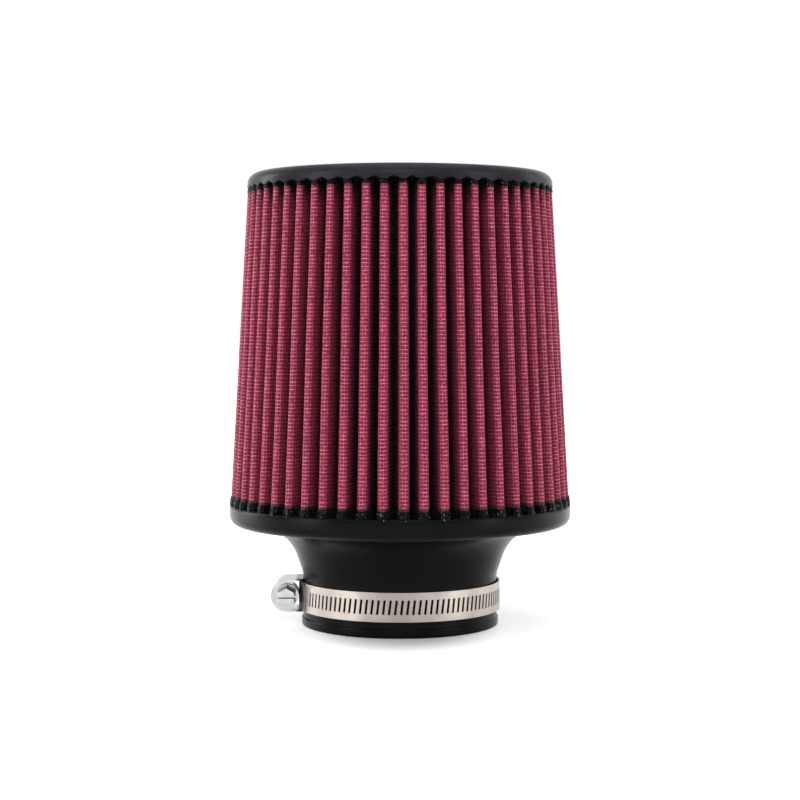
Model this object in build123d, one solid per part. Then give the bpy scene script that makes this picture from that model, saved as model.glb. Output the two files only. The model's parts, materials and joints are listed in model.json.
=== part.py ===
"""Conical pleated air filter with a clamp-on inlet neck.

Units are millimetres. The filter stands on the mouth of its neck: the axis is Z, the mouth is
at z = 0 and the closed cap is at the top. The clamp screw lies on the -X side, its head
towards -Y.
"""

import os
from math import acos, asin, atan2, ceil, cos, degrees, radians, sin, sqrt, tan

from build123d import *

# Inlet neck
BORE_DIAMETER = 76.2
BORE_LENGTH = 28.0
NECK_WALL = 5.5
NECK_LENGTH = 45.2
BEAD_HEIGHT = 3.8
BEAD_RISE = 0.6
SEAT_TOP = 23.0
FLARE_ANGLE = 19.0
FLARE_RADIUS = 20.0

# Base ring
RING_DIAMETER = 153.0
RING_HEIGHT = 9.2
RING_FILLET = 4.5
FUNNEL_EDGE = 1.5
FILLET_TOLERANCE = 0.45

# End cap
CAP_DIAMETER = 136.0
CAP_HEIGHT = 7.8
CAP_FILLET = 5.0

# Pleated pack
PLEAT_COUNT = 54
PLEAT_TURN = -2.2
PLEAT_DEPTH = 20.0
MEDIA_THICKNESS = 2.1
FOLD_FACETS = 4
MEDIA_HEIGHT = 139.6
POTTING_DEPTH = 5.0
CAP_POTTING_DEPTH = 2.6
POTTING_COVER = 0.6
POTTING_CLEARANCE = 0.05

# Clamp band
BAND_WIDTH = 12.7
BAND_THICKNESS = 0.65
BAND_BOTTOM = 7.2
BAND_NECK_GAP = 0.65
BAND_LAYER_GAP = 0.05
BAND_RAMP_ANGLE = 12.0
TAIL_LENGTH = 9.0
TAIL_CORNER = 1.8
SLOT_PITCH = 2.57
SLOT_WIDTH = 1.05
SLOT_LENGTH = 6.3
SLOT_SLANT = 7.0

# Clamp housing
HOUSING_LENGTH = 16.0
HOUSING_WALL = 0.9
HOUSING_SIDE_GAP = 0.15
HOUSING_FOOT_WIDTH = 3.0
HOUSING_FOOT_THICKNESS = 0.5
HOUSING_END_DROP = 2.5

# Clamp screw
WORM_DIAMETER = 11.0
WORM_CORE_DIAMETER = 8.4
JOURNAL_DIAMETER = 6.4
JOURNAL_CLEARANCE = 0.1
SCREW_END_PLAY = 0.3
COLLAR_DIAMETER = 10.4
COLLAR_THICKNESS = 1.2
HEAD_ACROSS_FLATS = 8.0
HEAD_LENGTH = 5.0
HEAD_CHAMFER = 0.6
SCREW_SLOT_WIDTH = 1.3
SCREW_SLOT_DEPTH = 2.0

# Heights
ring_top = NECK_LENGTH + RING_HEIGHT
pack_bottom = ring_top - POTTING_DEPTH
cap_bottom = ring_top + MEDIA_HEIGHT
pack_top = cap_bottom + CAP_POTTING_DEPTH
cap_top = cap_bottom + CAP_HEIGHT

# Radii
bore_radius = BORE_DIAMETER / 2
neck_radius = bore_radius + NECK_WALL
ring_radius = RING_DIAMETER / 2
cap_radius = CAP_DIAMETER / 2
pack_bottom_radius = ring_radius - POTTING_COVER
pack_top_radius = cap_radius - POTTING_COVER
band_inner_radius = neck_radius + BAND_NECK_GAP
tail_inner_radius = band_inner_radius + BAND_THICKNESS + BAND_LAYER_GAP
tail_outer_radius = tail_inner_radius + BAND_THICKNESS

# Clamp screw axis: the worm's crest reaches through the outer layer of the band
screw_axis_radius = tail_inner_radius + WORM_DIAMETER / 2
screw_axis_height = BAND_BOTTOM + BAND_WIDTH / 2


def polar(radius, angle):
    """Point in the XY plane at an angle in degrees."""
    return Vector(radius * cos(radians(angle)), radius * sin(radians(angle)), 0)


def rounded(before, corner, after, radius):
    """Points of a fillet between two straight stretches, its facets within the tolerance."""
    leg_in = (before - corner).normalized()
    leg_out = (after - corner).normalized()
    half = acos(leg_in.dot(leg_out)) / 2
    centre = corner + (leg_in + leg_out).normalized() * (radius / sin(half))
    start = corner + leg_in * (radius / tan(half)) - centre
    side = 1 if start.cross(corner - centre).Z > 0 else -1
    sweep = 180 - 2 * degrees(half)
    facets = ceil(sweep / degrees(2 * acos(1 - FILLET_TOLERANCE / radius)))
    return [centre + start.rotate(Axis.Z, side * sweep * i / facets) for i in range(facets + 1)]


def turned(corners):
    """Solid of revolution about Z from (radius, height, fillet radius) corners."""
    points = [Vector(r, z) for r, z, _ in corners]
    outline = []
    for index, (_, _, fillet_radius) in enumerate(corners):
        before = points[index - 1]
        after = points[(index + 1) % len(points)]
        if fillet_radius:
            outline += rounded(before, points[index], after, fillet_radius)
        else:
            outline.append(points[index])
    return revolve(Face(Wire.make_polygon([(p.X, 0, p.Y) for p in outline])), Axis.Z)


def tip_radius(z):
    """Radius of the pleat tips at a height."""
    share = (z - pack_bottom) / (pack_top - pack_bottom)
    return pack_bottom_radius + share * (pack_top_radius - pack_bottom_radius)


def mirrored(point):
    """The same point on the other side of the X axis."""
    return Vector(point.X, -point.Y)


def fold(centre, start, sweep):
    """Points round a fold of the sheet, from its first tangent point."""
    arm = start - centre
    return [centre + arm.rotate(Axis.Z, sweep * i / FOLD_FACETS) for i in range(FOLD_FACETS + 1)]


def pleat_geometry():
    """Fold centres of the half pleat beside the X axis, and its flank's direction and length."""
    fold_outer = Vector(pack_bottom_radius - MEDIA_THICKNESS, 0)
    fold_inner = polar(pack_bottom_radius - PLEAT_DEPTH + MEDIA_THICKNESS, 180 / PLEAT_COUNT)
    span = fold_outer - fold_inner
    slope = atan2(span.Y, span.X) + asin(MEDIA_THICKNESS / span.length)
    length = sqrt(span.length**2 - MEDIA_THICKNESS**2)
    return fold_outer, fold_inner, Vector(cos(slope), sin(slope)), length


def sheet_outside():
    """One pleat of the sheet's outer face: a round tip, then the crease of the valley."""
    fold_outer, fold_inner, flank, length = pleat_geometry()
    tangent = fold_inner + flank * length
    reach = degrees(atan2(tangent.Y, tangent.X - fold_outer.X))
    return fold(fold_outer, mirrored(tangent), 2 * reach) + [fold_inner]


def sheet_inside():
    """One pleat of the sheet's inner face: the crease of the tip, then a round inner fold."""
    fold_outer, fold_inner, flank, length = pleat_geometry()
    tangent = fold_outer - flank * length
    half_step = 180 / PLEAT_COUNT
    level = (tangent - fold_inner).rotate(Axis.Z, -half_step)
    reach = degrees(atan2(-level.Y, -level.X))
    return [fold_outer] + fold(fold_inner, tangent, -2 * reach)


def socket_outline():
    """One pleat of the potting socket: a square notch that clears the pleat's tip and flanks."""
    _, fold_inner, flank, _ = pleat_geometry()
    start = fold_inner + Vector(-flank.Y, flank.X) * POTTING_CLEARANCE
    valley = polar(1, 180 / PLEAT_COUNT)
    valley *= start.cross(flank).Z / valley.cross(flank).Z
    flat = pack_bottom_radius + POTTING_CLEARANCE
    corner = start + flank * ((flat - start.X) / flank.X)
    return [mirrored(corner), corner, valley]


def pleat_cone(outline, low, high):
    """Solid between two heights whose section is one pleat's outline repeated round the axis."""
    rings = []
    for z in (low, high):
        scale = tip_radius(z) / pack_bottom_radius
        ring = []
        for index in range(PLEAT_COUNT):
            turn = PLEAT_TURN + 360 / PLEAT_COUNT * index
            ring += [point.rotate(Axis.Z, turn) * scale + Vector(0, 0, z) for point in outline]
        rings.append(ring)
    corners = list(zip(*rings))
    faces = [Face(Wire.make_polygon(ring)) for ring in rings]
    for (low_a, high_a), (low_b, high_b) in zip(corners, corners[1:] + corners[:1]):
        faces.append(Face(Wire.make_polygon([low_a, low_b, high_b, high_a])))
    return Solid(Shell(faces))


def potting_socket(low, high):
    """Cutter for the pleat ends, hollow inside the pack's inner folds."""
    narrow = min(tip_radius(low), tip_radius(high)) / pack_bottom_radius
    core_radius = narrow * (pack_bottom_radius - PLEAT_DEPTH - POTTING_CLEARANCE)
    core = Pos(0, 0, (low + high) / 2) * Cylinder(core_radius, 2 * (high - low))
    return pleat_cone(socket_outline(), low, high) - core


def pleated_media():
    """The folded sheet, a conical ring of round-tipped pleats."""
    outside = pleat_cone(sheet_outside(), pack_bottom, pack_top)
    return outside - pleat_cone(sheet_inside(), pack_bottom, pack_top)


def base_flange():
    """Base ring and flared inlet neck in one moulding, with the lower potting socket."""
    bead_radius = neck_radius + BEAD_RISE
    flare_corner = neck_radius + (NECK_LENGTH - SEAT_TOP) * tan(radians(FLARE_ANGLE))
    funnel_radius = pack_bottom_radius - PLEAT_DEPTH - FUNNEL_EDGE
    body = turned([
        (bore_radius, 0, 0),
        (bead_radius, 0, 0),
        (bead_radius, BEAD_HEIGHT, 0),
        (neck_radius, BEAD_HEIGHT, 0),
        (neck_radius, SEAT_TOP, 0),
        (flare_corner, NECK_LENGTH, FLARE_RADIUS),
        (ring_radius, NECK_LENGTH, RING_FILLET),
        (ring_radius, ring_top, 0),
        (funnel_radius, ring_top, 0),
        (funnel_radius, pack_bottom, 0),
        (bore_radius, BORE_LENGTH, 0),
    ])
    return body - pleat_cone(socket_outline(), pack_bottom, ring_top + POTTING_DEPTH)


def end_cap():
    """Closed cap with the upper potting socket in its underside."""
    body = turned([
        (0, cap_bottom, 0),
        (cap_radius, cap_bottom, 0),
        (cap_radius, cap_top, CAP_FILLET),
        (0, cap_top, 0),
    ])
    return body - potting_socket(cap_bottom - CAP_POTTING_DEPTH, pack_top)


def band_radius(angle, ramp_start, ramp_end):
    """Inner radius of the strip along its length: the loop, the ramp, then the tail above it."""
    share = min(max((angle - ramp_start) / (ramp_end - ramp_start), 0), 1)
    return band_inner_radius + share * (tail_inner_radius - band_inner_radius)


def clamp_band():
    """Slotted strip that loops once round the neck and overlaps itself under the screw."""
    step = degrees(SLOT_PITCH / band_inner_radius)
    housing_angle = degrees(asin(HOUSING_LENGTH / 2 / tail_outer_radius))
    start = 180 - housing_angle - step
    ramp_end = start + 360 - step / 2
    ramp_start = ramp_end - BAND_RAMP_ANGLE
    end = 540 + housing_angle + degrees(TAIL_LENGTH / tail_outer_radius)
    facets = round((end - start) / step)
    angles = [start + (end - start) * index / facets for index in range(facets + 1)]
    inner = [band_radius(angle, ramp_start, ramp_end) for angle in angles]
    near = [polar(radius, angle) for radius, angle in zip(inner, angles)]
    far = [polar(radius + BAND_THICKNESS, angle) for radius, angle in zip(inner, angles)]
    outline = Face(Wire.make_polygon(near + far[::-1]))
    strip = Pos(0, 0, BAND_BOTTOM) * extrude(outline, BAND_WIDTH, dir=(0, 0, 1))
    tail_end = (near[-1] + far[-1]) / 2
    corners = [
        strip.edges().sort_by_distance((tail_end.X, tail_end.Y, z))[0]
        for z in (BAND_BOTTOM, BAND_BOTTOM + BAND_WIDTH)
    ]
    strip = fillet(corners, TAIL_CORNER)
    cutter = Rot(-SLOT_SLANT, 0, 0) * Box(BAND_THICKNESS + BAND_LAYER_GAP, SLOT_WIDTH, SLOT_LENGTH)
    slots = []
    for index in range(facets):
        middle = (angles[index] + angles[index + 1]) / 2
        under_tail = middle < end - 360 + step
        on_ramp = ramp_start - step < middle < ramp_end + step
        if not under_tail and not on_ramp and index < facets - 1:
            place = (near[index] + near[index + 1] + far[index] + far[index + 1]) / 4
            place += Vector(0, 0, screw_axis_height)
            slots.append(Pos(place.X, place.Y, place.Z) * Rot(0, 0, middle) * cutter)
    return strip - slots


def ring_sector(inner, outer, half_angle):
    """Flat ring sector about the -X direction."""
    near = CenterArc((0, 0), inner, 180 - half_angle, 2 * half_angle)
    far = CenterArc((0, 0), outer, 180 - half_angle, 2 * half_angle)
    return Face(Wire([near, Line(near @ 1, far @ 1), far, Line(near @ 0, far @ 0)]))


def tunnel(half_width, drop, length):
    """Round-topped bar along Y, its flat sides reaching a drop towards the neck."""
    top = Rot(90, 0, 0) * Cylinder(half_width, length)
    return top + Pos(drop / 2, 0, 0) * Box(drop, length, 2 * half_width)


def clamp_housing():
    """Stamped arch over the screw, with a bearing wall at the head and feet under the band."""
    inner_half = BAND_WIDTH / 2 + HOUSING_SIDE_GAP
    outer_half = inner_half + HOUSING_WALL
    journal_half = JOURNAL_DIAMETER / 2 + JOURNAL_CLEARANCE
    foot_outer = band_inner_radius - BAND_LAYER_GAP
    foot_inner = foot_outer - HOUSING_FOOT_THICKNESS
    drop = screw_axis_radius - foot_inner
    arch = tunnel(outer_half, drop, HOUSING_LENGTH)
    arch -= Pos(0, HOUSING_WALL, 0) * tunnel(inner_half, 2 * drop, HOUSING_LENGTH)
    arch -= tunnel(journal_half, drop, 2 * HOUSING_LENGTH)
    arch -= Pos(HOUSING_END_DROP + drop, 0, 0) * Box(2 * drop, 2 * HOUSING_LENGTH, 2 * inner_half)
    arch = Pos(-screw_axis_radius, 0, screw_axis_height) * arch
    arch -= Pos(0, 0, screw_axis_height) * Cylinder(foot_inner, 4 * BAND_WIDTH)
    half_angle = degrees(asin(HOUSING_LENGTH / 2 / foot_outer))
    foot_height = HOUSING_FOOT_WIDTH + HOUSING_WALL
    foot = extrude(ring_sector(foot_inner, foot_outer, half_angle), foot_height, dir=(0, 0, 1))
    low_foot = Pos(0, 0, screw_axis_height - outer_half) * foot
    high_foot = Pos(0, 0, screw_axis_height + outer_half - foot_height) * foot
    return arch + low_foot + high_foot


def clamp_screw():
    """Worm screw core with a journal, a collar and a slotted hex head."""
    rear = HOUSING_LENGTH / 2 - HOUSING_WALL
    inside = HOUSING_LENGTH / 2 - HOUSING_WALL - SCREW_END_PLAY
    outside = HOUSING_LENGTH / 2 + SCREW_END_PLAY
    collar_end = outside + COLLAR_THICKNESS
    head_end = collar_end + HEAD_LENGTH
    body = turned([
        (0, -rear, 0),
        (WORM_CORE_DIAMETER / 2, -rear, 0),
        (WORM_CORE_DIAMETER / 2, inside, 0),
        (JOURNAL_DIAMETER / 2, inside, 0),
        (JOURNAL_DIAMETER / 2, outside, 0),
        (COLLAR_DIAMETER / 2, outside, 0),
        (COLLAR_DIAMETER / 2, collar_end, 0),
        (0, collar_end, 0),
    ])
    hexagon = RegularPolygon(HEAD_ACROSS_FLATS / 2, 6, major_radius=False, rotation=30)
    head = Pos(0, 0, collar_end) * extrude(hexagon, HEAD_LENGTH)
    head = chamfer(head.edges().group_by(Axis.Z)[-1], HEAD_CHAMFER)
    slot = Pos(0, 0, head_end) * Box(2 * HEAD_ACROSS_FLATS, SCREW_SLOT_WIDTH, 2 * SCREW_SLOT_DEPTH)
    screw = body + head - slot
    return Pos(-screw_axis_radius, 0, screw_axis_height) * Rot(90, 0, 0) * screw


def main():
    """Write one STEP file for each piece."""
    os.makedirs("parts", exist_ok=True)
    export_step(base_flange(), "parts/base_flange.step")
    export_step(pleated_media(), "parts/pleated_media.step")
    export_step(end_cap(), "parts/end_cap.step")
    export_step(clamp_band(), "parts/clamp_band.step")
    export_step(clamp_housing(), "parts/clamp_housing.step")
    export_step(clamp_screw(), "parts/clamp_screw.step")


main()
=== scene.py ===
import json
import math

import bmesh
import bpy
from bpy.props import FloatProperty, FloatVectorProperty, IntProperty, PointerProperty
from mathutils import Matrix, Vector, noise


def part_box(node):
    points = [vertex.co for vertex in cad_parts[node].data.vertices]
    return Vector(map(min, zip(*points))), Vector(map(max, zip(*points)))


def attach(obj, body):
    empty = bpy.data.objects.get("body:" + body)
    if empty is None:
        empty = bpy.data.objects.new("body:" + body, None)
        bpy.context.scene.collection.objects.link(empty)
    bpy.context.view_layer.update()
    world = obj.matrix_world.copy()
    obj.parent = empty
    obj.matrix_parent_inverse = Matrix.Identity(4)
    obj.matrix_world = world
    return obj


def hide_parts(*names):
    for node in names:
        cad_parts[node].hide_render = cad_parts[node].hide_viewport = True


bl_info = {
    "name": "Conical air filter",
    "version": (1, 0, 0),
    "blender": (4, 5, 0),
    "location": "View3D > Sidebar > Air filter",
    "description": "Pleated gauze cone filter with moulded ends and a worm-drive hose clamp",
    "category": "Object",
}

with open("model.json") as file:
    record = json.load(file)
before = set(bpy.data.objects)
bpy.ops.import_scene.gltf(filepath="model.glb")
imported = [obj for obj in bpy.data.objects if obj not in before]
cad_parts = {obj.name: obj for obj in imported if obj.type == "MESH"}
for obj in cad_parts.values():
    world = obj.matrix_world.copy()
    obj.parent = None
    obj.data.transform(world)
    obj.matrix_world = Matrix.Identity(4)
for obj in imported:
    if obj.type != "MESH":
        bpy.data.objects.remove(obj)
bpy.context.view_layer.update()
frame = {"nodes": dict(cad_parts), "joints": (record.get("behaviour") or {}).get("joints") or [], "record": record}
BASE_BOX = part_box("base_flange")
PACK_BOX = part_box("pleated_media")
CAP_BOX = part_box("end_cap")
INLET = next(mount for mount in frame["record"]["mounts"] if mount["name"] == "inlet_bore")
SCREW_AXIS = Vector(frame["joints"][0]["pos_m"])
PACK_TIP = max(vert.co.to_2d().length for vert in frame["nodes"]["pleated_media"].data.vertices)
MM = 0.001
FLARE_ANGLE = math.radians(19)
MOULD_EDGE = math.radians(38)
FOLD_EDGE = math.radians(50)
STAMPED_EDGE = math.radians(40)
# The screen's wires, in the millimetres of the sheet's map
UPRIGHT_PITCH = 1.41
LEVEL_PITCH = 1.55
BARE_WIRE = (0.2, 0.19, 0.2, 1.0)
WHITE = (1.0, 1.0, 1.0, 1.0)


def length(name, default, description):
    """A size in metres that a user may change."""
    return FloatProperty(name=name, description=description, default=default, unit="LENGTH",
                         precision=5, min=0.0)


def colour(name, default, description):
    """A linear surface colour that a user may change."""
    return FloatVectorProperty(name=name, description=description, default=default,
                               subtype="COLOR", size=3, min=0.0, max=1.0)


class FilterSizes(bpy.types.PropertyGroup):
    """Sizes of the filter's own pieces"""

    pleat_count: IntProperty(
        name="Pleats", description="Pleats round the pack", default=54, min=12)
    pleat_turn: FloatProperty(
        name="Pleat turn", description="Angle of the first pleat from the X axis",
        default=math.radians(-2.2), subtype="ANGLE")
    tip_swell: length("Tip swell", 0.3 * MM, "Gauze standing proud of the pleat's plain shape")
    pleat_depth: length("Pleat depth", 20 * MM, "Radial depth of a pleat at the base")
    media_thickness: length("Media thickness", 2.1 * MM, "Gauze with its two wire screens")
    tip_cover: length("Tip cover", 0.6 * MM, "Urethane left outside the pleat tips in the cap")
    pleat_wander: length("Pleat wander", 0.4 * MM, "How far a pleat tip strays sideways")
    boot_height: length("Boot height", 3.3 * MM, "Urethane climbing the tips above the base ring")
    tongue_height: length("Tongue height", 1.3 * MM, "Urethane running down the tips below the cap")
    scallop_depth: length("Scallop depth", 1.3 * MM, "Rise of the cap's edge over the valleys")
    boot_cover: length("Boot cover", 0.5 * MM, "Urethane thickness on a pleat tip")
    neck_wall: length("Neck wall", 5.5 * MM, "Wall of the inlet neck")
    bead_rise: length("Bead rise", 0.6 * MM, "Step of the bead at the mouth of the neck")
    bead_height: length("Bead height", 3.8 * MM, "Height of the bead at the mouth of the neck")
    seat_top: length("Clamp seat top", 23 * MM, "Height where the neck starts to flare")
    flare_radius: length("Flare radius", 20 * MM, "Bend between the flare and the ring's underside")
    ring_height: length("Ring height", 9.2 * MM, "Height of the base ring's outside wall")
    ring_fillet: length("Ring fillet", 4.5 * MM, "Lower rounding of the base ring")
    cap_fillet: length("Cap fillet", 5.0 * MM, "Upper rounding of the cap")
    thread_diameter: length("Thread diameter", 9.5 * MM, "Crest of the worm thread")
    thread_pitch: length("Thread pitch", 2.57 * MM, "Pitch of the worm thread and the band's slots")


class FilterColours(bpy.types.PropertyGroup):
    """Finishes of the filter's own pieces"""

    gauze: colour("Gauze", (0.37, 0.017, 0.066), "Oiled red cotton")
    # The weave's oil colour; darkened further, it is also the painted shade in the valleys and under the cap.
    gauze_oil_and_shade: colour("Gauze in the weave", (0.13, 0.003, 0.016), "Oil gathered in the cotton")
    wire: colour("Wire", (0.75, 0.19, 0.3), "Oiled aluminium wire of the screen")
    urethane: colour("Urethane", (0.0042, 0.0033, 0.0036), "Moulded rubber of the base")
    # The cap's rubber is the base urethane; this lighter copy is painted light falling on the cap from above.
    cap: colour("Cap urethane", (0.024, 0.022, 0.027), "Moulded rubber of the cap, bloomed")
    stainless: colour("Stainless", (0.46, 0.41, 0.37), "Rolled strip of the clamp")
    zinc: colour("Zinc plate", (0.57, 0.58, 0.59), "Plated housing and screw of the clamp")


class StageSettings(bpy.types.PropertyGroup):
    """Camera and light"""

    camera_distance: length("Camera distance", 0.845, "Camera to the filter's axis")
    camera_height: length("Camera height", 0.1373, "Camera above the floor")
    camera_pitch: FloatProperty(
        name="Camera pitch", description="How far the camera looks down",
        default=math.radians(2.485), subtype="ANGLE")
    focal_length: FloatProperty(
        name="Focal length", description="Lens on a 36 mm sensor", default=84.65, unit="CAMERA")
    ambient: FloatProperty(
        name="Ambient", description="Light from the white surround", default=0.25, min=0.0)
    key: FloatProperty(
        name="Key", description="Power that the side lamps share", default=4.6, unit="POWER")
    top: FloatProperty(
        name="Top", description="Power of the lamp overhead", default=5.0, unit="POWER")


def taper(height):
    """Scale of the pleat section at a height: one at the pack's foot."""
    sizes = bpy.context.scene.filter_sizes
    low, high = PACK_BOX[0].z, PACK_BOX[1].z
    top_scale = (CAP_BOX[1].x - sizes.tip_cover) / PACK_TIP
    return 1 - (1 - top_scale) * (height - low) / (high - low)


def add_node(tree, kind, values=None, **settings):
    """A shader node with its settings and its unlinked input values."""
    node = tree.nodes.new(kind)
    for key, value in settings.items():
        setattr(node, key, value)
    for key, value in (values or {}).items():
        node.inputs[key].default_value = value
    return node


def math_node(tree, operation, first, second=None, third=None):
    """Output of a maths node whose inputs are sockets or numbers."""
    node = add_node(tree, "ShaderNodeMath", operation=operation)
    for socket, value in zip(node.inputs, (first, second, third)):
        if isinstance(value, bpy.types.NodeSocket):
            tree.links.new(value, socket)
        elif value is not None:
            socket.default_value = value
    return node.outputs[0]


def ramp_node(tree, source, low, high):
    """Smooth step of a socket from zero at low to one at high."""
    node = add_node(tree, "ShaderNodeMapRange", interpolation_type="SMOOTHSTEP")
    tree.links.new(source, node.inputs["Value"])
    node.inputs["From Min"].default_value = low
    node.inputs["From Max"].default_value = high
    return node.outputs["Result"]


def mix_colour(tree, factor, first, second):
    """Output of a colour mix whose ends are sockets or colours."""
    node = add_node(tree, "ShaderNodeMix", data_type="RGBA")
    for index, value in ((0, factor), (6, first), (7, second)):
        if isinstance(value, bpy.types.NodeSocket):
            tree.links.new(value, node.inputs[index])
        else:
            node.inputs[index].default_value = value
    return node.outputs[2]


def noise_node(tree, vector, scale, detail=2.0, rough=0.5):
    """Noise value of a coordinate socket."""
    node = add_node(tree, "ShaderNodeTexNoise",
                    {"Scale": scale, "Detail": detail, "Roughness": rough})
    tree.links.new(vector, node.inputs["Vector"])
    return node.outputs["Fac"]


def stretched(tree, vector, scale):
    """A coordinate socket stretched along its axes."""
    node = add_node(tree, "ShaderNodeMapping", {"Scale": scale})
    tree.links.new(vector, node.inputs["Vector"])
    return node.outputs["Vector"]


def bump_node(tree, height, strength, distance):
    """Normal from a height socket."""
    node = add_node(tree, "ShaderNodeBump", {"Strength": strength, "Distance": distance})
    tree.links.new(height, node.inputs["Height"])
    return node.outputs["Normal"]


def new_material(name):
    """A material with its tree, its shader and its object coordinates."""
    material = bpy.data.materials.new(name)
    material.use_nodes = True
    tree = material.node_tree
    shader = tree.nodes["Principled BSDF"]
    coords = add_node(tree, "ShaderNodeTexCoord")
    return material, tree, shader, coords


def solid(value):
    """A colour with its alpha."""
    return (value[0], value[1], value[2], 1.0)


def lighter(value, share):
    """A colour with its alpha, its brightness multiplied."""
    return (value[0] * share, value[1] * share, value[2] * share, 1.0)


def urethane_finish(name, base, shine):
    """Satin black rubber with a fine cast skin and faint cloudy wear."""
    material, tree, shader, coords = new_material(name)
    place = coords.outputs["Object"]
    cloud = noise_node(tree, place, 70.0, 4.0, 0.6)
    grain = noise_node(tree, place, 1900.0, 3.0, 0.6)
    worn = ramp_node(tree, cloud, 0.3, 0.75)
    tint = mix_colour(tree, worn, lighter(base, 0.82), lighter(base, 1.25))
    tree.links.new(tint, shader.inputs["Base Color"])
    rough = math_node(tree, "MULTIPLY_ADD", cloud, 0.12, 0.17)
    tree.links.new(rough, shader.inputs["Roughness"])
    skin = math_node(tree, "MULTIPLY_ADD", noise_node(tree, place, 350.0, 2.0), 1.5, grain)
    tree.links.new(bump_node(tree, skin, 0.3, 0.0001), shader.inputs["Normal"])
    shader.inputs["Specular IOR Level"].default_value = shine
    shader.inputs["Sheen Weight"].default_value = 0.05
    shader.inputs["Sheen Roughness"].default_value = 0.3
    return material


def wire_profile(tree, along, pitch, width):
    """(mask, height) of round wires crossing a coordinate in millimetres."""
    cell = math_node(tree, "FRACT", math_node(tree, "DIVIDE", along, pitch))
    aside = math_node(tree, "ABSOLUTE", math_node(tree, "SUBTRACT", cell, 0.5))
    off = math_node(tree, "MULTIPLY", aside, pitch)
    mask = ramp_node(tree, off, 0.62 * width, 0.42 * width)
    crown = ramp_node(tree, off, 0.75 * width, 0.0)
    return mask, crown


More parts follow.
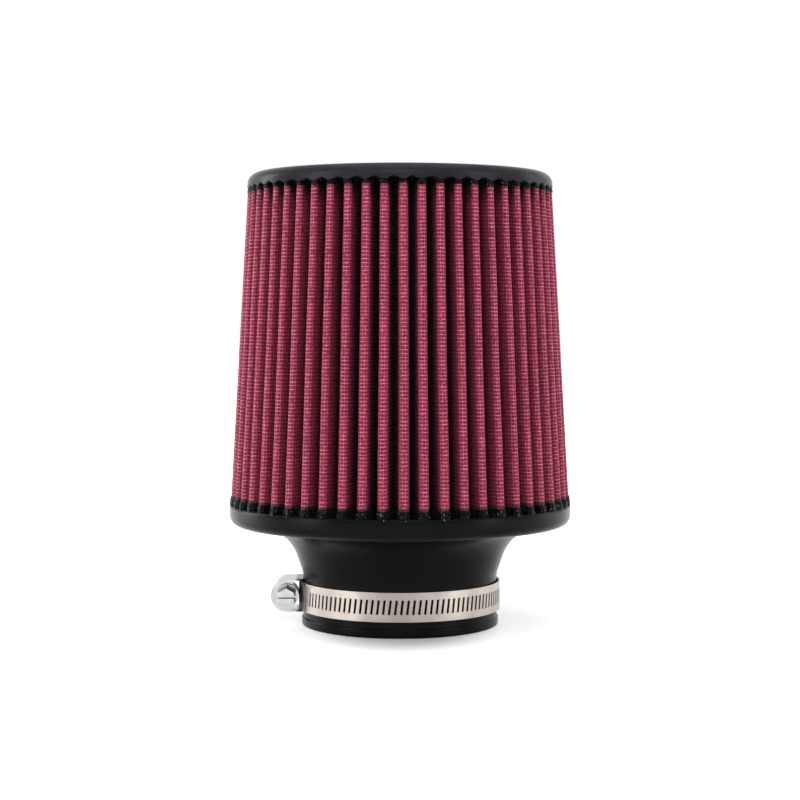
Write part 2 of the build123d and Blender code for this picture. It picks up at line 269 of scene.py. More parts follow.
def screen_finish():
    """Red oil-soaked gauze swelling between the wires of a fine screen, black where it is potted, with painted
    shade round the tips, down the folds and under the cap.
    """
    colours = bpy.context.scene.filter_colours
    sizes = bpy.context.scene.filter_sizes
    material, tree, shader, coords = new_material("screened_gauze")
    place = coords.outputs["Object"]
    split = add_node(tree, "ShaderNodeSeparateXYZ")
    tree.links.new(coords.outputs["UV"], split.inputs[0])
    sway = math_node(tree, "MULTIPLY_ADD", noise_node(tree, place, 55.0, 2.0), 0.9, -0.45)
    across = math_node(tree, "ADD", split.outputs["X"], sway)
    up = math_node(tree, "ADD", split.outputs["Y"], math_node(tree, "MULTIPLY", sway, 1.6))
    upright, upright_crown = wire_profile(tree, across, UPRIGHT_PITCH, 0.26)
    level, level_crown = wire_profile(tree, up, LEVEL_PITCH, 0.41)
    glint = ramp_node(tree, noise_node(tree, place, 760.0, 2.0, 0.6), 0.28, 0.62)
    wires = math_node(tree, "MAXIMUM", math_node(tree, "MULTIPLY", upright, 0.7), level)
    shine = math_node(tree, "MULTIPLY_ADD", glint, 0.85, 0.15)
    wires = math_node(tree, "MULTIPLY", wires, shine)
    fibre = noise_node(tree, stretched(tree, place, (1.0, 1.0, 0.6)), 2600.0, 3.0, 0.7)
    blotch = noise_node(tree, place, 160.0, 3.0, 0.6)
    soak = math_node(tree, "MULTIPLY_ADD", fibre, 0.6, math_node(tree, "MULTIPLY", blotch, 0.55))
    dry = ramp_node(tree, soak, 0.42, 0.85)
    cloth = mix_colour(tree, dry, solid(colours.gauze_oil_and_shade), solid(colours.gauze))
    depth = math_node(tree, "ABSOLUTE", split.outputs["X"])
    # Painted shade: gauze and wires darken with distance from the pleat tip, round the tip and down the flank into
    # the valley.
    painted_turn_shade = ramp_node(tree, depth, 0.0, 3.8)
    painted_valley_shade = ramp_node(tree, depth, 3.0, 10.5)
    cloth = mix_colour(tree, painted_turn_shade, cloth, lighter(colours.gauze, 0.5))
    cloth = mix_colour(tree, painted_valley_shade, cloth, lighter(colours.gauze_oil_and_shade, 0.12))
    strand = mix_colour(tree, painted_turn_shade, solid(colours.wire), lighter(colours.wire, 0.45))
    strand = mix_colour(tree, painted_valley_shade, strand, lighter(colours.wire, 0.05))
    red = mix_colour(tree, wires, cloth, strand)
    heights = add_node(tree, "ShaderNodeSeparateXYZ")
    tree.links.new(place, heights.inputs[0])
    under_cap = CAP_BOX[0].z
    # Painted shade: the valleys turn near black just under the cap.
    painted_cap_shade = ramp_node(tree, heights.outputs["Z"], under_cap - 11 * MM, under_cap - 1 * MM)
    painted_cap_shade = math_node(tree, "MULTIPLY", painted_cap_shade, ramp_node(tree, depth, 0.8, 4.0))
    red = mix_colour(tree, painted_cap_shade, red, lighter(colours.gauze_oil_and_shade, 0.04))
    ragged = noise_node(tree, place, 420.0, 2.0)
    creep = math_node(tree, "MULTIPLY_ADD", ragged, 1.8 * MM, -0.9 * MM)
    level_z = math_node(tree, "ADD", heights.outputs["Z"], creep)
    foot = BASE_BOX[1].z + sizes.boot_height
    head = under_cap - 0.6 * sizes.tongue_height
    low_end = ramp_node(tree, level_z, foot + 2.1 * MM, foot - 0.2 * MM)
    high_end = ramp_node(tree, level_z, head - 1.5 * MM, head + 0.7 * MM)
    potted = math_node(tree, "MAXIMUM", low_end, high_end)
    # Within the potted black the wires are a little lighter: the wire under the thin urethane, with a painted
    # glint on it.
    black = mix_colour(tree, wires, lighter(colours.urethane, 0.8), lighter(colours.urethane, 2.6))
    tree.links.new(mix_colour(tree, potted, red, black), shader.inputs["Base Color"])
    tree.links.new(math_node(tree, "MULTIPLY_ADD", wires, -0.22, 0.62), shader.inputs["Roughness"])
    crown = math_node(tree, "MAXIMUM", upright_crown, level_crown)
    swell = math_node(tree, "MULTIPLY_ADD", fibre, 0.35, crown)
    tree.links.new(bump_node(tree, swell, 0.8, 0.00022), shader.inputs["Normal"])
    uncovered = math_node(tree, "SUBTRACT", 0.2, math_node(tree, "MULTIPLY", potted, 0.2))
    metal = math_node(tree, "MULTIPLY", wires, uncovered)
    tree.links.new(metal, shader.inputs["Metallic"])
    shader.inputs["Specular IOR Level"].default_value = 0.2
    shader.inputs["Sheen Weight"].default_value = 0.04
    shader.inputs["Sheen Roughness"].default_value = 0.5
    shader.inputs["Sheen Tint"].default_value = (1.0, 0.75, 0.78, 1.0)
    return material


def potted_finish():
    """Black urethane thin over the screen: its wires show as ridges, with painted glint on their crowns and
    painted shade between them, and bare in places.
    """
    if "potted_screen" in bpy.data.materials:
        return bpy.data.materials["potted_screen"]
    base = bpy.context.scene.filter_colours.urethane
    material, tree, shader, coords = new_material("potted_screen")
    place = coords.outputs["Object"]
    split = add_node(tree, "ShaderNodeSeparateXYZ")
    tree.links.new(coords.outputs["UV"], split.inputs[0])
    lump = noise_node(tree, place, 520.0, 3.0, 0.65)
    _, upright_crown = wire_profile(tree, split.outputs["X"], UPRIGHT_PITCH, 0.45)
    _, level_crown = wire_profile(tree, split.outputs["Y"], LEVEL_PITCH, 0.45)
    ridge = math_node(tree, "MAXIMUM", upright_crown, level_crown)
    shown = math_node(tree, "MULTIPLY", ridge, ramp_node(tree, lump, 0.35, 0.65))
    # Painted glint and shade: wire crowns lighter, the hollows between them darker than plain urethane.
    skin = mix_colour(tree, shown, lighter(base, 0.15), lighter(base, 2.0))
    speck = ramp_node(tree, noise_node(tree, place, 1100.0, 2.0, 0.6), 0.58, 0.68)
    bare = math_node(tree, "MULTIPLY", speck, math_node(tree, "MULTIPLY_ADD", ridge, 0.8, 0.2))
    tree.links.new(mix_colour(tree, bare, skin, BARE_WIRE), shader.inputs["Base Color"])
    tree.links.new(bare, shader.inputs["Metallic"])
    tree.links.new(math_node(tree, "MULTIPLY_ADD", lump, 0.24, 0.16), shader.inputs["Roughness"])
    height = math_node(tree, "MULTIPLY_ADD", lump, 0.9, math_node(tree, "MULTIPLY", ridge, 0.8))
    tree.links.new(bump_node(tree, height, 1.0, 0.0005), shader.inputs["Normal"])
    shader.inputs["Specular IOR Level"].default_value = 0.07
    return material


def stainless_finish():
    """Rolled strip: fine scratches, a warm cast, dull patches and painted shade by the housing."""
    base = bpy.context.scene.filter_colours.stainless
    material, tree, shader, coords = new_material("rolled_stainless")
    place = coords.outputs["Object"]
    lines = noise_node(tree, stretched(tree, place, (18.0, 18.0, 5200.0)), 1.0, 3.0, 0.65)
    patch = noise_node(tree, place, 120.0, 3.0)
    dull = ramp_node(tree, patch, 0.3, 0.7)
    tint = mix_colour(tree, dull, lighter(base, 0.86), lighter(base, 1.06))
    sides = add_node(tree, "ShaderNodeSeparateXYZ")
    tree.links.new(place, sides.inputs[0])
    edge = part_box("clamp_housing")[1].x
    # Painted shade: the strip turns dark where it runs out from under the housing, beside the screw head.
    painted_housing_shade = ramp_node(tree, sides.outputs["X"], edge + 1.2 * MM, edge - 0.6 * MM)
    tint = mix_colour(tree, painted_housing_shade, tint, lighter(base, 0.12))
    tree.links.new(tint, shader.inputs["Base Color"])
    shader.inputs["Metallic"].default_value = 1.0
    matt = math_node(tree, "MULTIPLY_ADD", patch, 0.1, 0.28)
    rough = math_node(tree, "MULTIPLY_ADD", lines, 0.16, matt)
    tree.links.new(rough, shader.inputs["Roughness"])
    tree.links.new(bump_node(tree, lines, 0.25, 0.00003), shader.inputs["Normal"])
    return material


def zinc_finish(name, painted_shade_start):
    """Bright plate with a soft grain and handling marks, dark with painted shade past a place on X."""
    base = bpy.context.scene.filter_colours.zinc
    material, tree, shader, coords = new_material(name)
    place = coords.outputs["Object"]
    patch = noise_node(tree, place, 260.0, 4.0, 0.6)
    grain = noise_node(tree, place, 3200.0, 2.0)
    marked = ramp_node(tree, patch, 0.3, 0.7)
    tint = mix_colour(tree, marked, lighter(base, 0.82), lighter(base, 1.08))
    sides = add_node(tree, "ShaderNodeSeparateXYZ")
    tree.links.new(place, sides.inputs[0])
    # Painted shade: dark past the given X, where the housing wraps round beside the band.
    painted_housing_shade = ramp_node(tree, sides.outputs["X"], painted_shade_start - 1.4 * MM, painted_shade_start + 0.6 * MM)
    tint = mix_colour(tree, painted_housing_shade, tint, lighter(base, 0.07))
    tree.links.new(tint, shader.inputs["Base Color"])
    shader.inputs["Metallic"].default_value = 1.0
    tree.links.new(math_node(tree, "MULTIPLY_ADD", patch, 0.2, 0.13), shader.inputs["Roughness"])
    tree.links.new(bump_node(tree, grain, 0.15, 0.00004), shader.inputs["Normal"])
    return material


def soften(bm, sharp_angle=MOULD_EDGE):
    """Smooth shading, kept crisp at the hard edges."""
    for face in bm.faces:
        face.smooth = True
    for edge in bm.edges:
        edge.smooth = edge.calc_face_angle(0.0) < sharp_angle


def finished(bm, name, material, body, slot, *nodes):
    """Put a mesh in the scene as a piece that stands for its CAD nodes and rides on a body."""
    mesh = bpy.data.meshes.new(name)
    bm.to_mesh(mesh)
    bm.free()
    mesh.materials.append(material)
    piece = bpy.data.objects.new(name, mesh)
    bpy.context.scene.collection.objects.link(piece)
    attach(piece, body)
    if nodes:
        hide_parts(*nodes)
    return piece


def turned(bm, corners, steps):
    """Spin a closed profile of (radius, height, fillet) corners about the filter's axis."""
    corner_verts = [bm.verts.new((radius, 0.0, height)) for radius, height, _ in corners]
    section = bm.faces.new(corner_verts)
    for vert, (_, _, fillet) in zip(corner_verts, corners):
        if fillet:
            legs = [(edge.other_vert(vert).co - vert.co) for edge in vert.link_edges]
            reach = fillet / math.tan(legs[0].angle(legs[1]) / 2)
            bmesh.ops.bevel(bm, geom=[vert], offset=reach, offset_type="OFFSET", affect="VERTICES",
                            segments=8, profile=0.5, material=-1)
    section = max(bm.faces, key=lambda face: len(face.verts))
    edges = list(section.edges)
    verts = list(section.verts)
    bmesh.ops.delete(bm, geom=[section], context="FACES_ONLY")
    on_axis = [edge for edge in edges if max(vert.co.x for vert in edge.verts) < 1e-7]
    edges = [edge for edge in edges if edge not in on_axis]
    bmesh.ops.delete(bm, geom=on_axis, context="EDGES")
    bmesh.ops.spin(bm, geom=verts + edges, cent=(0, 0, 0), axis=(0, 0, 1),
                   angle=2 * math.pi, steps=steps, use_merge=True)
    bmesh.ops.remove_doubles(bm, verts=bm.verts, dist=1e-7)
    bmesh.ops.recalc_face_normals(bm, faces=bm.faces)


def fold_path(bm, centre, radius, crease, half_pitch, segments, cuts):
    """One fold of the sheet as a line: crease, flank, round fold, flank, crease."""
    corner = Vector((crease * math.cos(half_pitch), crease * math.sin(half_pitch), 0))
    middle = Vector((centre, 0, 0))
    leg = corner - middle
    swing = math.acos(radius / leg.length)
    facing = math.atan2(leg.y, leg.x)
    turn = facing - swing if crease < centre else facing + swing
    sweep = -2 * turn if crease < centre else 2 * math.pi - 2 * turn
    start = bm.verts.new(middle + Vector((math.cos(turn), math.sin(turn), 0)) * radius)
    bmesh.ops.spin(bm, geom=[start], cent=middle, axis=(0, 0, 1), angle=sweep, steps=segments)
    bm.verts.ensure_lookup_table()
    last = bm.verts[-1]
    flanks = []
    for vert, side in ((start, 1), (last, -1)):
        end = bm.verts.new((corner.x, side * corner.y, 0))
        flanks.append(bm.edges.new((vert, end)))
    if cuts:
        bmesh.ops.subdivide_edges(bm, edges=flanks, cuts=cuts)


def measure_path(bm, layer):
    """Write each vertex's distance along an open line of edges, in millimetres, centred."""
    ends = [vert for vert in bm.verts if len(vert.link_edges) == 1]
    vert = min(ends, key=lambda end: end.co.y)
    came, walked = None, 0.0
    order = []
    while vert is not None:
        vert[layer] = walked
        order.append(vert)
        onward = [edge for edge in vert.link_edges if edge is not came]
        came = onward[0] if onward else None
        if came:
            walked += came.calc_length() / MM
        vert = came.other_vert(vert) if came else None
    for vert in order:
        vert[layer] -= walked / 2


def raised_sheet(bm, layer, uv, rows):
    """Draw a fold's line up the pack, narrowing with the taper, with its map in millimetres."""
    low, high = PACK_BOX[0].z, PACK_BOX[1].z
    bmesh.ops.translate(bm, verts=bm.verts, vec=(0, 0, low))
    front = list(bm.edges)
    for row in range(rows):
        before = taper(low + (high - low) * row / rows)
        after = taper(low + (high - low) * (row + 1) / rows)
        grown = bmesh.ops.extrude_edge_only(bm, edges=front)["geom"]
        front = [item for item in grown if isinstance(item, bmesh.types.BMEdge)]
        verts = [item for item in grown if isinstance(item, bmesh.types.BMVert)]
        bmesh.ops.scale(bm, verts=verts, vec=(after / before, after / before, 1))
        bmesh.ops.translate(bm, verts=verts, vec=(0, 0, (high - low) / rows))
        front = [edge for edge in front if all(vert in set(verts) for vert in edge.verts)]
    for face in bm.faces:
        for loop in face.loops:
            loop[uv].uv = (loop.vert[layer], (loop.vert.co.z - low) / MM)


def round_pack(bm, count, turn):
    """Copy one fold all round the axis, the first one turned by an angle."""
    bmesh.ops.rotate(bm, verts=bm.verts, cent=(0, 0, 0), matrix=Matrix.Rotation(turn, 3, "Z"))
    bmesh.ops.spin(bm, geom=bm.verts[:] + bm.edges[:] + bm.faces[:], cent=(0, 0, 0),
                   axis=(0, 0, 1), angle=2 * math.pi * (count - 1) / count, steps=count - 1,
                   use_duplicate=True)
    bmesh.ops.remove_doubles(bm, verts=bm.verts, dist=1e-6)


def pleat_index(vert):
    """Which pleat a vertex belongs to, counted round the axis."""
    sizes = bpy.context.scene.filter_sizes
    angle = math.atan2(vert.co.y, vert.co.x) - sizes.pleat_turn
    return round(angle / (2 * math.pi) * sizes.pleat_count) % sizes.pleat_count


def stray(vert, inner, outer, wander):
    """Turn a vertex a little about the axis, so that the folds aren't all alike."""
    radius = vert.co.to_2d().length
    height = (vert.co.z - PACK_BOX[0].z) / (PACK_BOX[1].z - PACK_BOX[0].z)
    scale = taper(vert.co.z)
    pleat = pleat_index(vert)
    reach = min(max((radius / scale - inner) / (outer - inner), 0.0), 1.0) ** 2
    lean = noise.noise((pleat * 7.31, 0.5, 2.0))
    wave = 0.7 * noise.noise((pleat * 3.17, height * 3.0, 8.0))
    slip = wander * reach * (lean + wave) * (0.35 + 0.65 * math.sin(math.pi * height))
    vert.co = Matrix.Rotation(slip / radius, 3, "Z") @ vert.co


def tip_boot(bm, levels, spread, segments):
    """One urethane boot on a pleat tip, drawn through (height, cover) levels."""
    sizes = bpy.context.scene.filter_sizes
    fold = sizes.media_thickness
    tip = PACK_TIP + sizes.tip_swell - fold
    height, cover = levels[0]
    radius = fold * taper(height) + cover
    middle = Vector((tip * taper(height), 0, height))
    start = bm.verts.new(middle + Vector((math.cos(spread), math.sin(spread), 0)) * radius)
    bmesh.ops.spin(bm, geom=[start], cent=middle, axis=(0, 0, 1), angle=-2 * spread, steps=segments)
    front = list(bm.edges)
    for height, cover in levels[1:]:
        grown = bmesh.ops.extrude_edge_only(bm, edges=front)["geom"]
        verts = [item for item in grown if isinstance(item, bmesh.types.BMVert)]
        after_radius = fold * taper(height) + cover
        after_middle = Vector((tip * taper(height), 0, height))
        share = after_radius / radius
        bmesh.ops.scale(bm, verts=verts, vec=(share, share, 1), space=Matrix.Translation(-middle))
        bmesh.ops.translate(bm, verts=verts, vec=after_middle - middle)
        known = set(verts)
        front = [item for item in grown
                 if isinstance(item, bmesh.types.BMEdge) and known.issuperset(item.verts)]
        radius, middle = after_radius, after_middle
    upright = [edge for edge in bm.edges
               if edge.is_boundary and abs(edge.verts[0].co.z - edge.verts[1].co.z) > 1e-6]
    bmesh.ops.bridge_loops(bm, edges=upright)
    bmesh.ops.holes_fill(bm, edges=bm.edges, sides=0)
    uv = bm.loops.layers.uv.new("sheet")
    for face in bm.faces:
        face.material_index = 1
        for loop in face.loops:
            off = loop.vert.co - middle
            round_tip = math.atan2(off.y, loop.vert.co.x - tip * taper(loop.vert.co.z)) * fold / MM
            loop[uv].uv = (round_tip, (loop.vert.co.z - PACK_BOX[0].z) / MM)
    bmesh.ops.recalc_face_normals(bm, faces=bm.faces)


def ring_of_boots(levels, unevenness, seed):
    """Boots on every pleat tip, each a little longer or shorter than the next, as a mesh."""
    sizes = bpy.context.scene.filter_sizes
    bm = bmesh.new()
    wrap = math.radians(112)
    tip_boot(bm, levels, wrap, 12)
    round_pack(bm, sizes.pleat_count, sizes.pleat_turn)
    outer = PACK_TIP
    root = levels[0][0]
    span = levels[-1][0] - root
    for vert in bm.verts:
        share = (vert.co.z - root) / span
        rise = noise.noise((pleat_index(vert) * 5.73, seed, vert.co.y * 180))
        vert.co.z += share * unevenness * rise
        lump = noise.noise(vert.co * 420) * 0.16 * MM
        vert.co += Vector((vert.co.x, vert.co.y, 0)).normalized() * lump
        stray(vert, outer - sizes.pleat_depth, outer, sizes.pleat_wander)
    mesh = bpy.data.meshes.new("boots")
    bm.to_mesh(mesh)
    bm.free()
    return mesh


class PleatedPack(bpy.types.Operator):
    """Fold the gauze and its screens into the tapered pack"""

    bl_idname = "air_filter.pleated_pack"
    bl_label = "Pleated pack"

    def execute(self, context):
        sizes = context.scene.filter_sizes
        outer = PACK_TIP + sizes.tip_swell
        inner = PACK_TIP - sizes.pleat_depth
        fold = sizes.media_thickness
        half_pitch = math.pi / sizes.pleat_count
        rows = 24
        # Outer and inner side of the sheet: (centre, crease, turn, segments, cuts)
        sheets = (
            (outer - fold, inner + fold, 0.0, 12, 3),
            (inner + fold, outer - fold, half_pitch, 8, 1),
        )
        bm = bmesh.new()
        for centre, crease, turn, segments, cuts in sheets:
            part = bmesh.new()
            layer = part.verts.layers.float.new("along")
            uv = part.loops.layers.uv.new("sheet")
            fold_path(part, centre, fold, crease, half_pitch, segments, cuts)
            measure_path(part, layer)
            raised_sheet(part, layer, uv, rows)
            round_pack(part, sizes.pleat_count, sizes.pleat_turn + turn)
            side = bpy.data.meshes.new("sheet_side")
            part.to_mesh(side)
            part.free()
            bm.from_mesh(side)
            bpy.data.meshes.remove(side)
        for level in (PACK_BOX[0].z, PACK_BOX[1].z):
            rims = [edge for edge in bm.edges
                    if edge.is_boundary and abs(edge.verts[0].co.z - level) < 1e-6]
            bmesh.ops.triangle_fill(bm, edges=rims, use_beauty=True, normal=(0, 0, 1))
        bmesh.ops.recalc_face_normals(bm, faces=bm.faces)
        for vert in bm.verts:
            stray(vert, inner, outer, sizes.pleat_wander)
        soften(bm, FOLD_EDGE)
        finished(bm, "pleated_pack", screen_finish(), "filter", "gauze", "pleated_media")
        return {"FINISHED"}


class BaseFlange(bpy.types.Operator):
    """Turn the base ring, the funnel and the inlet neck, and cast the boots on the pleat tips"""

    bl_idname = "air_filter.base_flange"
    bl_label = "Base and neck"

    def execute(self, context):
        sizes = context.scene.filter_sizes
        bore = INLET["dims"]["r_mm"] * MM
        mouth = INLET["dims"]["length_mm"] * MM
        neck = bore + sizes.neck_wall
        bead = neck + sizes.bead_rise
        ring = BASE_BOX[1].x
        top = BASE_BOX[1].z
        under = top - sizes.ring_height
        flare = neck + (under - sizes.seat_top) * math.tan(FLARE_ANGLE)
        funnel = PACK_TIP - sizes.pleat_depth - 1.5 * MM
        lip, gutter_rim = ring - 2.2 * MM, ring - 4.5 * MM
        gutter, funnel_foot = top - 2.5 * MM, top - 5.0 * MM
        # (radius, height, fillet), from the mouth up the outside and back down the inside
        corners = [
            (bore, 0.0, 0.7 * MM),
            (bead, 0.0, 0.8 * MM),
            (bead, sizes.bead_height, 0.5 * MM),
            (neck, sizes.bead_height + 0.2 * MM, 0.3 * MM),
            (neck, sizes.seat_top, 8.0 * MM),
            (flare, under, sizes.flare_radius),
            (ring, under, sizes.ring_fillet),
            (ring, top, 1.0 * MM),
            (lip, top, 0.7 * MM),
            (gutter_rim, gutter, 1.2 * MM),
            (funnel, gutter, 1.0 * MM),
            (funnel, funnel_foot, 2.0 * MM),
            (bore, mouth, 2.0 * MM),
        ]
        bm = bmesh.new()
        turned(bm, corners, 4 * sizes.pleat_count)
        peak = top + sizes.boot_height
        cover = sizes.boot_cover
        levels = [
            (top - 1.6 * MM, cover * 0.2),
            (top - 1.1 * MM, cover * 0.75),
            (top - 0.5 * MM, cover * 1.05),
            (top + 0.8 * MM, cover * 1.1),
            (peak - 1.2 * MM, cover),
            (peak - 0.5 * MM, cover * 0.8),
            (peak - 0.1 * MM, cover * 0.45),
            (peak, -0.15 * MM),
        ]
        boots = ring_of_boots(levels, 0.8 * MM, 1.5)
        bm.from_mesh(boots)
        bpy.data.meshes.remove(boots)
        soften(bm)
        shine = 0.06
        rubber = urethane_finish("base_urethane", context.scene.filter_colours.urethane, shine)
        base = finished(bm, "base_moulding", rubber, "filter", "urethane", "base_flange")
        base.data.materials.append(potted_finish())
        return {"FINISHED"}


class EndCap(bpy.types.Operator):
    """Turn the closed cap and cast the short tongues on the pleat tips"""

    bl_idname = "air_filter.end_cap"
    bl_label = "End cap"

    def execute(self, context):
        sizes = context.scene.filter_sizes
        low, high, rim = CAP_BOX[0].z, CAP_BOX[1].z, CAP_BOX[1].x
        potted_and_shaded_top, scallop_top = low + 1.0 * MM, low + 1.5 * MM
        groove = [rim - inset * MM for inset in (8.0, 8.4, 9.2, 9.6)]
        groove_floor = high - 0.35 * MM
        corners = [
            (0.0, low, 0.0),
            (rim - 3.0 * MM, low, 0.0),
            (rim - 0.9 * MM, low, 0.0),
            (rim, low + 0.7 * MM, 0.5 * MM),
            (rim, high, sizes.cap_fillet),
            (groove[0], high, 0.4 * MM),
            (groove[1], groove_floor, 0.2 * MM),
            (groove[2], groove_floor, 0.2 * MM),
            (groove[3], high, 0.4 * MM),
            (0.0, high, 0.0),
        ]
        bm = bmesh.new()
        turned(bm, corners, 8 * sizes.pleat_count)
        # The cap's lowest millimetre takes the dark potted finish: partly the potting round the tips, partly
        # painted shade under the scallops.
        for face in bm.faces:
            if max(vert.co.z for vert in face.verts) < potted_and_shaded_top:
                face.material_index = 1
        for vert in bm.verts:
            if vert.co.to_2d().length > rim - 2.0 * MM and vert.co.z < scallop_top:
                around = math.atan2(vert.co.y, vert.co.x) - sizes.pleat_turn
                over_valley = 0.5 - 0.5 * math.cos(around * sizes.pleat_count)
                vert.co.z += sizes.scallop_depth * over_valley
        foot = low - sizes.tongue_height
        cover = sizes.boot_cover * 0.6
        levels = [
            (low + 0.9 * MM, -0.3 * MM),
            (low + 0.2 * MM, cover * 0.5),
            (low - 0.4 * MM, cover),
            (foot + 0.5 * MM, cover * 0.9),
            (foot + 0.2 * MM, cover * 0.6),
            (foot, -0.15 * MM),
        ]
        tongues = ring_of_boots(levels, 1.2 * MM, 9.5)
        bm.from_mesh(tongues)
        bpy.data.meshes.remove(tongues)
        soften(bm)
        shine = 0.05
        # The cap's finish: the lighter copy of the urethane, painted light from above.
        rubber = urethane_finish("cap_urethane_painted_light", context.scene.filter_colours.cap, shine)
        cap = finished(bm, "cap_moulding", rubber, "filter", "urethane", "end_cap")
        cap.data.materials.append(potted_finish())
        return {"FINISHED"}


def eased_copy(node, edge_radius, segments):
    """A merged copy of a CAD node with its hard edges rounded, as a bmesh."""
    bm = bmesh.new()
    bm.from_mesh(frame["nodes"][node].data)
    bmesh.ops.remove_doubles(bm, verts=bm.verts, dist=1e-6)
    bmesh.ops.dissolve_limit(bm, angle_limit=math.radians(0.5), verts=bm.verts, edges=bm.edges)
    hard = [edge for edge in bm.edges if edge.calc_face_angle(0.0) > STAMPED_EDGE]
    bmesh.ops.bevel(bm, geom=hard, offset=edge_radius, offset_type="OFFSET", affect="EDGES",
                    segments=segments, profile=0.5, material=-1, clamp_overlap=True)
    soften(bm, FOLD_EDGE)
    return bm


def level_shading(piece):
    """Let the large faces of a piece keep their own shading beside the narrow rounded edges."""
    weights = piece.modifiers.new("large_faces", "WEIGHTED_NORMAL")
    weights.keep_sharp = True


class HoseClamp(bpy.types.Operator):
    """Finish the clamp's slotted strip and its stamped housing"""

    bl_idname = "air_filter.hose_clamp"
    bl_label = "Clamp band and housing"

    def execute(self, context):
        strip = eased_copy("clamp_band", 0.12 * MM, 2)
        level_shading(finished(strip, "clamp_strip", stainless_finish(),
                               "filter", "stainless", "clamp_band"))
        arch = eased_copy("clamp_housing", 0.3 * MM, 3)
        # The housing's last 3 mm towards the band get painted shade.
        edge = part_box("clamp_housing")[1].x - 3.0 * MM
        level_shading(finished(arch, "screw_housing", zinc_finish("housing_zinc", edge),
                               "filter", "zinc", "clamp_housing"))
        return {"FINISHED"}


class ClampScrew(bpy.types.Operator):
    """Finish the slotted hex screw and wind its worm thread"""

    bl_idname = "air_filter.clamp_screw"
    bl_label = "Clamp screw"

    def execute(self, context):
        sizes = context.scene.filter_sizes
        screw = eased_copy("clamp_screw", 0.22 * MM, 3)
        # The screw lies wholly on the negative side of this X, so it gets none of the painted shade.
        clear_of_painted_shade = 0.0
        plate = zinc_finish("screw_zinc", clear_of_painted_shade)
        level_shading(finished(screw, "hex_screw", plate, "screw", "zinc", "clamp_screw"))
        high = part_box("clamp_screw")[1].y
        core, crest = 4.1 * MM, sizes.thread_diameter / 2
        root, land = 0.75 * MM, 0.35 * MM
        start = -5.9 * MM
        turns = (high - 0.5 * MM - start) / sizes.thread_pitch
        steps_a_turn = 28
        steps = round(turns * steps_a_turn)
        bm = bmesh.new()
        tooth = [bm.verts.new(SCREW_AXIS + Vector((0, start + along, radius)))
                 for along, radius in ((-root, core), (-land, crest), (land, crest), (root, core))]
        section = bm.faces.new(tooth)
        bmesh.ops.spin(bm, geom=[section], cent=SCREW_AXIS, axis=(0, 1, 0),
                       angle=2 * math.pi * turns, steps=steps,
                       dvec=(0, turns * sizes.thread_pitch / steps, 0))
        bmesh.ops.holes_fill(bm, edges=bm.edges, sides=4)
        bmesh.ops.recalc_face_normals(bm, faces=bm.faces)
        soften(bm)
        finished(bm, "worm_thread", plate, "screw", "zinc")
        return {"FINISHED"}


def area_lamp(name, place, aim, width, height, power):
    """A large soft lamp that faces a point."""
    lamp = bpy.data.lights.new(name, "AREA")
    lamp.shape = "RECTANGLE"
    lamp.size = width
    lamp.size_y = height
    lamp.energy = power
    holder = bpy.data.objects.new(name, lamp)
    holder.location = place
    holder.rotation_euler = (Vector(aim) - Vector(place)).to_track_quat("-Z", "Y").to_euler()
    bpy.context.scene.collection.objects.link(holder)


def floor_finish():
    """Matt white sweep that reads white to the camera; its glow is held back in a forward-leaning oval round the
    neck, painting a tight contact shadow over the real one.
    """
    material, tree, shader, coords = new_material("white_sweep")
    shader.inputs["Base Color"].default_value = (0.82, 0.82, 0.82, 1.0)
    shader.inputs["Roughness"].default_value = 0.5
    path = add_node(tree, "ShaderNodeLightPath")
    seen = math_node(tree, "MAXIMUM", path.outputs["Is Camera Ray"], path.outputs["Is Glossy Ray"])
    seen = math_node(tree, "MAXIMUM", seen, path.outputs["Is Transmission Ray"])
    shader.inputs["Emission Color"].default_value = WHITE
    away = add_node(tree, "ShaderNodeVectorMath", {1: (0.0, -0.016, 0.0)}, operation="DISTANCE")
    tree.links.new(stretched(tree, coords.outputs["Object"], (1.25, 0.8, 1.0)), away.inputs[0])
    # Painted shadow: no glow within the oval, rising to half strength at its edge.
    lift_past_painted_shadow = math_node(tree, "MULTIPLY", ramp_node(tree, away.outputs["Value"], 0.024, 0.056), 0.5)
    far = ramp_node(tree, away.outputs["Value"], 0.06, 0.5)
    lift = math_node(tree, "MULTIPLY_ADD", far, 0.5, lift_past_painted_shadow)
    tree.links.new(math_node(tree, "MULTIPLY", seen, lift), shader.inputs["Emission Strength"])
    return material


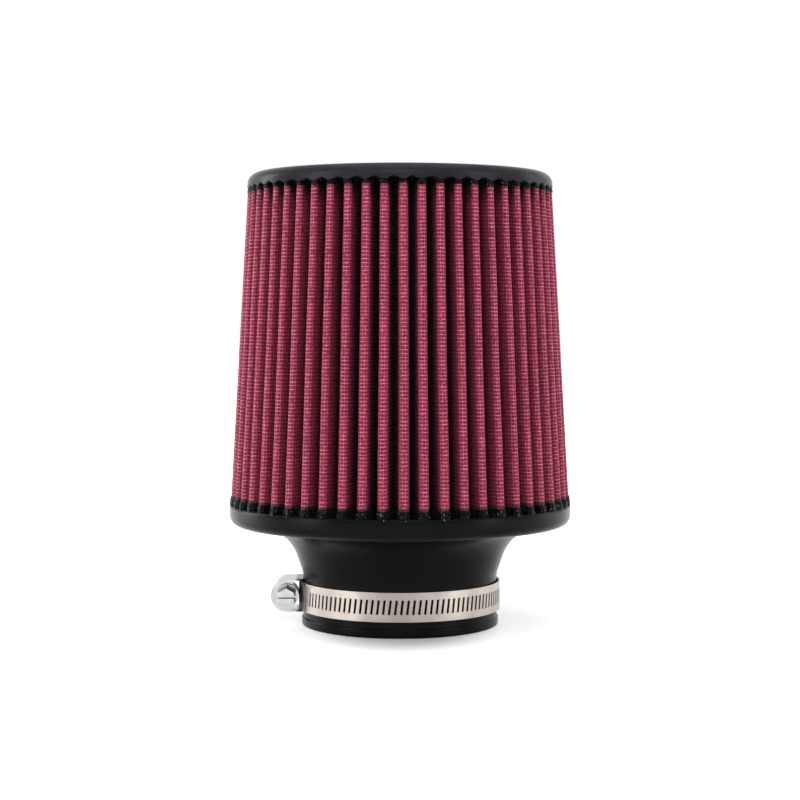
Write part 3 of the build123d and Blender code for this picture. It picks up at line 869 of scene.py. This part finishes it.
class Stage(bpy.types.Operator):
    """White sweep, soft studio lamps and the camera"""

    bl_idname = "air_filter.stage"
    bl_label = "Stage"

    def execute(self, context):
        scene = context.scene
        stage = scene.filter_stage
        scene.view_settings.view_transform = "Standard"
        bm = bmesh.new()
        reach, drop = 6.0, 0.05 * MM
        bmesh.ops.create_grid(bm, x_segments=1, y_segments=1, size=reach)
        bmesh.ops.translate(bm, verts=bm.verts, vec=(0, 0, -drop))
        mesh = bpy.data.meshes.new("floor")
        bm.to_mesh(mesh)
        bm.free()
        mesh.materials.append(floor_finish())
        floor = bpy.data.objects.new("floor", mesh)
        scene.collection.objects.link(floor)
        world = bpy.data.worlds.new("white_surround")
        world.use_nodes = True
        tree = world.node_tree
        path = add_node(tree, "ShaderNodeLightPath")
        coords = add_node(tree, "ShaderNodeTexCoord")
        facing = add_node(tree, "ShaderNodeSeparateXYZ")
        tree.links.new(coords.outputs["Generated"], facing.inputs[0])
        behind = ramp_node(tree, facing.outputs["Y"], -0.5, 0.3)
        backdrop = math_node(tree, "MULTIPLY_ADD", behind, 0.89, 0.11)
        extra = math_node(tree, "SUBTRACT", backdrop, stage.ambient)
        mirror = math_node(tree, "MULTIPLY", path.outputs["Is Glossy Ray"], extra)
        seen = math_node(tree, "MAXIMUM", path.outputs["Is Camera Ray"],
                         path.outputs["Is Transmission Ray"])
        direct = math_node(tree, "MULTIPLY_ADD", seen, 1.0 - stage.ambient, stage.ambient)
        strength = math_node(tree, "ADD", mirror, direct)
        tree.links.new(strength, tree.nodes["Background"].inputs["Strength"])
        tree.nodes["Background"].inputs["Color"].default_value = WHITE
        scene.world = world
        middle = (0, 0, 0.11)
        # (name, place, width, height, share of the key power)
        banks = (
            ("left_bank", (-0.9, -0.5, 0.4), 0.35, 0.9, 1.4),
            ("right_bank", (0.9, -0.5, 0.4), 0.35, 0.9, 1.0),
            ("front_bank", (0, -1.1, 0.8), 0.9, 0.4, 0.94),
            ("left_rim", (-0.85, 0.4, 0.2), 0.3, 0.8, 0.95),
            ("right_rim", (0.85, 0.4, 0.2), 0.3, 0.8, 0.25),
        )
        for name, place, width, height, share in banks:
            area_lamp(name, place, middle, width, height, share * stage.key)
        area_lamp("top_bank", (0, -0.1, 1.1), (0, 0, 0.1), 0.9, 0.9, stage.top)
        lens = bpy.data.cameras.new("camera")
        lens.sensor_width = 36.0
        lens.lens = stage.focal_length
        camera = bpy.data.objects.new("camera", lens)
        camera.location = (0, -stage.camera_distance, stage.camera_height)
        camera.rotation_euler = (math.pi / 2 - stage.camera_pitch, 0, 0)
        scene.collection.objects.link(camera)
        scene.camera = camera
        return {"FINISHED"}


class FilterPanel(bpy.types.Panel):
    """Sizes, finishes and pieces of the filter"""

    bl_idname = "VIEW3D_PT_air_filter"
    bl_label = "Air filter"
    bl_space_type = "VIEW_3D"
    bl_region_type = "UI"
    bl_category = "Air filter"

    def draw(self, context):
        scene = context.scene
        for group in (scene.filter_sizes, scene.filter_colours, scene.filter_stage):
            box = self.layout.box()
            for name in group.__annotations__:
                box.prop(group, name)
        for operator in OPERATORS:
            self.layout.operator(operator.bl_idname)


OPERATORS = (PleatedPack, BaseFlange, EndCap, HoseClamp, ClampScrew, Stage)
CLASSES = (FilterSizes, FilterColours, StageSettings) + OPERATORS + (FilterPanel,)


def register():
    """Register the classes and hang the settings on the scene."""
    for cls in CLASSES:
        bpy.utils.register_class(cls)
    bpy.types.Scene.filter_sizes = PointerProperty(type=FilterSizes)
    bpy.types.Scene.filter_colours = PointerProperty(type=FilterColours)
    bpy.types.Scene.filter_stage = PointerProperty(type=StageSettings)


def unregister():
    """Take the settings and the classes away again."""
    del bpy.types.Scene.filter_stage
    del bpy.types.Scene.filter_colours
    del bpy.types.Scene.filter_sizes
    for cls in reversed(CLASSES):
        bpy.utils.unregister_class(cls)


def main():
    """Build the filter and its stage."""
    register()
    bpy.ops.air_filter.pleated_pack()
    bpy.ops.air_filter.base_flange()
    bpy.ops.air_filter.end_cap()
    bpy.ops.air_filter.hose_clamp()
    bpy.ops.air_filter.clamp_screw()
    bpy.ops.air_filter.stage()


if __name__ == "__main__":
    main()
